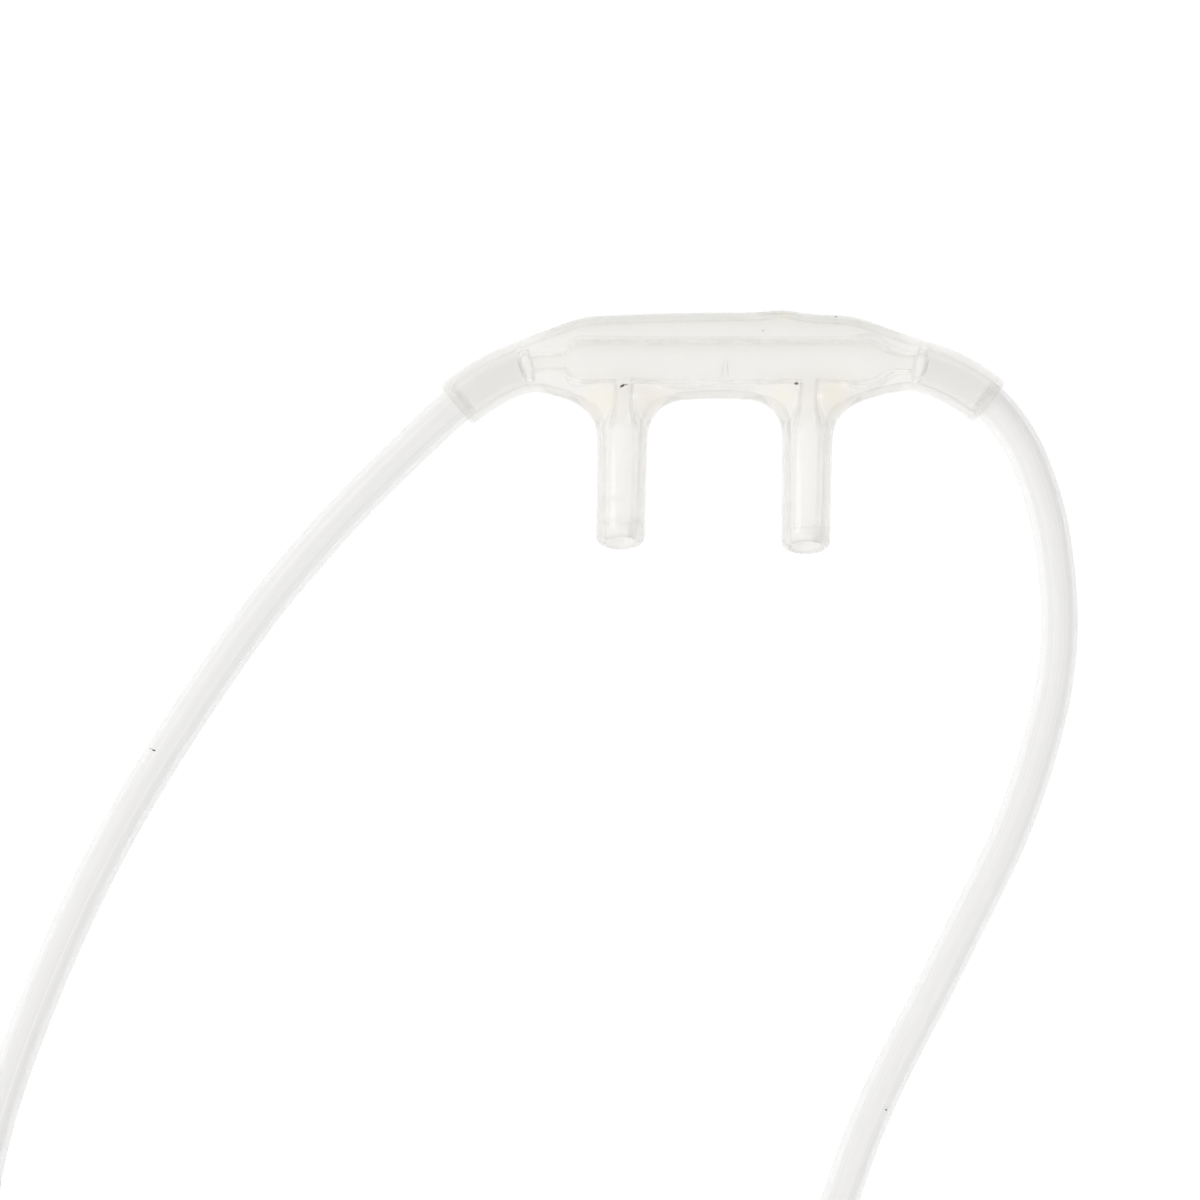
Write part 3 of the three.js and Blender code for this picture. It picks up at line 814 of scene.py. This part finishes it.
# %% Colours and patterns of the vinyl
WHITE = (1, 1, 1, 1)
YELLOWED = (1.0, 0.93, 0.76, 1)
# Grey of the painted shade along the facepiece's back edges
PAINTED_SHADE_GREY = (0.84, 0.85, 0.82, 1)
CLOUD_SCALE, GRAIN_SCALE = 400.0, 4000.0
DRAWN_SCALE = (60, 9, 1)  # lines round a hose, and changes in each metre of it
CLOUD_DARKENING = 0.96
VINYL_BUMP = 0.00001
VINYL_IOR = 1.5


def mixed_colour(share, first, second):
    """A colour share of the way from first to second."""
    return share.out(
        "ShaderNodeMix", {"data_type": "RGBA"}, {"Factor": share, "A": first, "B": second}, 2)


def cloud_of(start, place, drawn):
    """Soft cloudiness all through a moulding, or lines along a hose that is drawn."""
    if not drawn:
        return start.out(
            "ShaderNodeTexNoise", {}, {"Vector": place, "Scale": CLOUD_SCALE, "Detail": 2.0})
    along = start.out("ShaderNodeUVMap", {"uv_map": "along"}, {})
    along = start.out(
        "ShaderNodeVectorMath", {"operation": "MULTIPLY"}, {0: along, 1: DRAWN_SCALE})
    return start.out("ShaderNodeTexNoise", {}, {"Vector": along, "Scale": 1.0, "Detail": 2.0})


# %% Vinyl


def vinyl(name, colour, clear, tint, density, roughness, drawn=False):
    """A clear plastic. clear is the share of the covered light that is bent and not
    scattered, tint and density the colour of depth. drawn adds the fine lines along a hose
    that it gets when it is drawn through its die."""
    material = bpy.data.materials.new(name)
    material.use_nodes = True
    tree = material.node_tree
    tree.nodes.clear()
    start = Socket(tree, None)
    place = start.out("ShaderNodeTexCoord", {}, {}, "Object")
    cloud = cloud_of(start, place, drawn)
    grain = start.out(
        "ShaderNodeTexNoise", {}, {"Vector": place, "Scale": GRAIN_SCALE, "Detail": 1.0})
    yellow, painted_shade, cover = (
        start.out("ShaderNodeAttribute", {"attribute_name": stored}, {}, "Fac")
        for stored in ("yellow", "painted_shade", "cover"))
    paint = mixed_colour(cloud, tuple(CLOUD_DARKENING * part for part in colour), colour)
    # Painted shade: the grey band along the back edges, mixed into the colour
    paint = mixed_colour(painted_shade, paint, PAINTED_SHADE_GREY)
    paint = mixed_colour(yellow * (0.4 + grain), paint, YELLOWED)
    bump = start.out("ShaderNodeBump", {}, {
        "Strength": 0.1, "Distance": VINYL_BUMP, "Height": cloud + grain * 0.2})
    shader = start.node("ShaderNodeBsdfPrincipled", {}, {
        "Base Color": paint,
        "Roughness": roughness + grain * 0.05,
        "Transmission Weight": clear,
        "Alpha": cover * (0.9 + cloud * 0.2),
        "IOR": VINYL_IOR,
        "Normal": bump,
    })
    volume = start.node("ShaderNodeVolumeAbsorption", {}, {"Color": tint, "Density": density})
    output = tree.nodes.new("ShaderNodeOutputMaterial")
    tree.links.new(shader.outputs[0], output.inputs["Surface"])
    tree.links.new(volume.outputs[0], output.inputs["Volume"])
    return material


# %% The three finishes
facepiece.data.materials.append(vinyl(
    "moulded_vinyl", (0.985, 0.975, 0.96, 1), clear=0.6,
    tint=(0.9, 0.89, 0.862, 1), density=200, roughness=0.1))
tube_vinyl = vinyl(
    "tube_vinyl", (0.975, 0.97, 0.96, 1), clear=0.3,
    tint=(0.94, 0.93, 0.91, 1), density=90, roughness=0.2, drawn=True)
for tube in tubes.values():
    tube.data.materials.append(tube_vinyl)
fitting_plastic = vinyl(
    "fitting_plastic", (0.96, 0.965, 0.95, 1), clear=0.4,
    tint=(0.9, 0.91, 0.88, 1), density=120, roughness=0.1)
for piece in (slider_sleeve, wye_moulding):
    piece.data.materials.append(fitting_plastic)
print("materials:", [material.name for material in bpy.data.materials])

# %% [markdown]
# ## Specks of dirt and hairlines
# The used piece has a few dark specks on it, and two fine scratches on the cavity. They are
# far smaller than a texture's grain would keep, so each is a tiny ragged grain of its own,
# half sunk into the skin.

# %% Specks and hairlines: middle (x, y), half sizes across and along, turn in degrees
FACE_SPECKS = [
    (-9.07, -2.84, 0.22, 0.12, 25), (-8.72, -2.74, 0.09, 0.05, 40),
    (6.46, -2.63, 0.19, 0.13, 0), (6.95, -2.66, 0.2, 0.02, -5),
    (10.08, 3.42, 0.1, 0.06, 10), (10.2, 2.72, 0.06, 0.05, 0),
    (3.5, 2.1, 0.08, 0.06, 30), (1.8, 0.3, 0.03, 0.07, 10), (12.15, 2.85, 0.07, 0.05, 45),
    (0.33, -1.1, 0.014, 0.7, 4), (-0.1, -1.15, 0.01, 0.66, -10),
    (-9.9, -12.74, 0.3, 0.012, 0), (-9.7, -13.0, 0.5, 0.01, 3),
]
TUBE_SPECKS = {
    "left": [(-51.12, -35.44, 0.15, 0.07, -20), (-51.4, -35.3, 0.06, 0.04, 0)],
    "right": [(14.6, -67.7, 0.09, 0.08, 0)],
}
SPECK_ROWS, SPECK_COLUMNS, SPECK_HEIGHT = 9, 14, 0.03
SPECK_RAGGEDNESS = 0.3
SPECK_SUNK = 0.01  # on a tube, whose skin is known only to about this
SEARCH_TOP, SEARCH_STEPS = 9, 1801

# %% A speck's place and form


def top_of(field, x, y):
    """The height of the highest point of a field's skin above (x, y)."""
    z = np.linspace(0, SEARCH_TOP, SEARCH_STEPS)
    value = field(np.full_like(z, x), np.full_like(z, y), z)
    return z[np.flatnonzero(value < 0)[-1]]


def top_of_tube(side, x, y):
    """The height of a tube's top at its nearest point to (x, y)."""
    nearest = np.argmin(np.hypot(lines[side][:, 0] - x, lines[side][:, 1] - y))
    return lines[side][nearest, 2] + TUBE_OD / 2 - SPECK_SUNK


def speck(rng, x, y, z, half_width, half_length, turn):
    """A ragged grain: an ellipsoid whose radius is cos(lift), times a factor that wanders
    from column to column, and whose height is sin(lift)."""
    lift = np.linspace(-np.pi / 2, np.pi / 2, SPECK_ROWS)[:, None]
    angle = np.linspace(0, 2 * np.pi, SPECK_COLUMNS, endpoint=False)[None, :]
    radius = 1 + SPECK_RAGGEDNESS * rng.uniform(-1, 1, SPECK_COLUMNS)[None, :]
    across = half_width * radius * np.cos(angle) * np.cos(lift)
    along = half_length * radius * np.sin(angle) * np.cos(lift)
    way = np.radians(turn)
    points = np.stack([
        x + across * np.cos(way) - along * np.sin(way),
        y + across * np.sin(way) + along * np.cos(way),
        z + SPECK_HEIGHT * np.sin(lift) + 0 * angle,
    ], axis=-1)
    return points.reshape(-1, 3)


# %% All specks


def make_specks(name, spots):
    """All specks of one piece as one mesh. spots are rows of x, y, z and a grain's sizes."""
    rng = np.random.default_rng(7)
    count = SPECK_ROWS * SPECK_COLUMNS
    points = np.vstack([speck(rng, *spot) for spot in spots])
    faces = grid_faces(SPECK_ROWS, SPECK_COLUMNS)
    faces = np.vstack([faces + count * number for number in range(len(spots))])
    piece = make_mesh(name, points * MM, faces)
    piece.data.materials.append(dirt)
    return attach(piece, "cannula")


def make_dirt():
    """Dull brown black with a fine mottle."""
    material = bpy.data.materials.new("dirt")
    material.use_nodes = True
    shader = material.node_tree.nodes["Principled BSDF"]
    start = Socket(material.node_tree, None)
    place = start.out("ShaderNodeTexCoord", {}, {}, "Object")
    mottle = start.out("ShaderNodeTexNoise", {}, {"Vector": place, "Scale": 9000.0})
    paint = mixed_colour(mottle, (0.02, 0.016, 0.01, 1), (0.12, 0.1, 0.07, 1))
    material.node_tree.links.new(paint.link, shader.inputs["Base Color"])
    shader.inputs["Roughness"].default_value = 0.8
    return material


dirt = make_dirt()
face_specks = make_specks("facepiece_specks", [
    (x, y, top_of(facepiece_field, x, y), *sizes) for x, y, *sizes in FACE_SPECKS])
tube_specks = make_specks("tube_specks", [
    (x, y, top_of_tube(side, x, y), *sizes)
    for side, spots in TUBE_SPECKS.items() for x, y, *sizes in spots])
print("specks:", len(FACE_SPECKS), "on the facepiece,",
      sum(len(spots) for spots in TUBE_SPECKS.values()), "on the tubes")

# %% [markdown]
# ## The table
# The photograph's white ground is brighter than white paper under the same light, and what
# shows through the clear vinyl is mostly that ground. So the table is a light table: a white
# sheet with a glow of its own, which also leaves only the faintest shadow.

# %% The table
TABLE_HALF = 3.0
TABLE_GREY, TABLE_GLOW = 0.1, 0.94


def make_table():
    """A plain white square, wide enough to be all that the clear parts show."""
    corners = TABLE_HALF * np.array([(-1, -1, 0), (1, -1, 0), (1, 1, 0), (-1, 1, 0)])
    table = make_mesh("table", corners, np.array([[0, 1, 2, 3]]))
    material = bpy.data.materials.new("table_white")
    material.use_nodes = True
    shader = material.node_tree.nodes["Principled BSDF"]
    shader.inputs["Base Color"].default_value = (TABLE_GREY, TABLE_GREY, TABLE_GREY, 1)
    shader.inputs["Emission Color"].default_value = WHITE
    shader.inputs["Emission Strength"].default_value = TABLE_GLOW
    shader.inputs["Roughness"].default_value = 0.9
    shader.inputs["Specular IOR Level"].default_value = 0.1
    table.data.materials.append(material)
    return table


table = make_table()

# %% [markdown]
# ## Light
# The photograph is a bright white product shot, with soft light from above and a darker room
# round it. Clear plastic has hardly a colour of its own, and its edges are drawn by what they
# bend into view, so the darker sides of the surround are what outlines the piece.

# %% Studio light
SKY_SIDE, SKY_SLOPE = 0.45, 1.25  # strength at the sides, and its rise towards SKY_TOP
SKY_TOP = (-0.3, -0.25, 0.6)
SOFTBOXES = {  # place, size and power
    "key_softbox": ((-0.6, 0.4, 0.6), 0.45, 1.2),
    "fill_softbox": ((0.35, -0.3, 0.8), 0.2, 0.5),
}


def make_world():
    """A pale surround, brightest above and a little to the front left. The strength is a
    constant plus the dot product of the view's direction with the bright one."""
    world = bpy.data.worlds.new("surround")
    world.use_nodes = True
    tree = world.node_tree
    tree.nodes.clear()
    start = Socket(tree, None)
    sky = start.out("ShaderNodeTexCoord", {}, {})
    facing = start.out(
        "ShaderNodeVectorMath", {"operation": "DOT_PRODUCT"}, {0: sky, 1: SKY_TOP}, "Value")
    light = start.node(
        "ShaderNodeBackground", {}, {"Color": WHITE, "Strength": SKY_SIDE + facing * SKY_SLOPE})
    output = tree.nodes.new("ShaderNodeOutputWorld")
    tree.links.new(light.outputs[0], output.inputs["Surface"])
    bpy.context.scene.world = world


def make_lamp(name, place, size, power):
    """A round softbox that faces the facepiece."""
    lamp = bpy.data.objects.new(name, bpy.data.lights.new(name, "AREA"))
    lamp.data.shape = "DISK"
    lamp.data.size = size
    lamp.data.energy = power
    lamp.location = place
    lamp.rotation_euler = (-lamp.location).to_track_quat("-Z", "Y").to_euler()
    bpy.context.scene.collection.objects.link(lamp)


make_world()
for name, (place, size, power) in SOFTBOXES.items():
    make_lamp(name, place, size, power)
bpy.context.scene.view_settings.view_transform = "Standard"
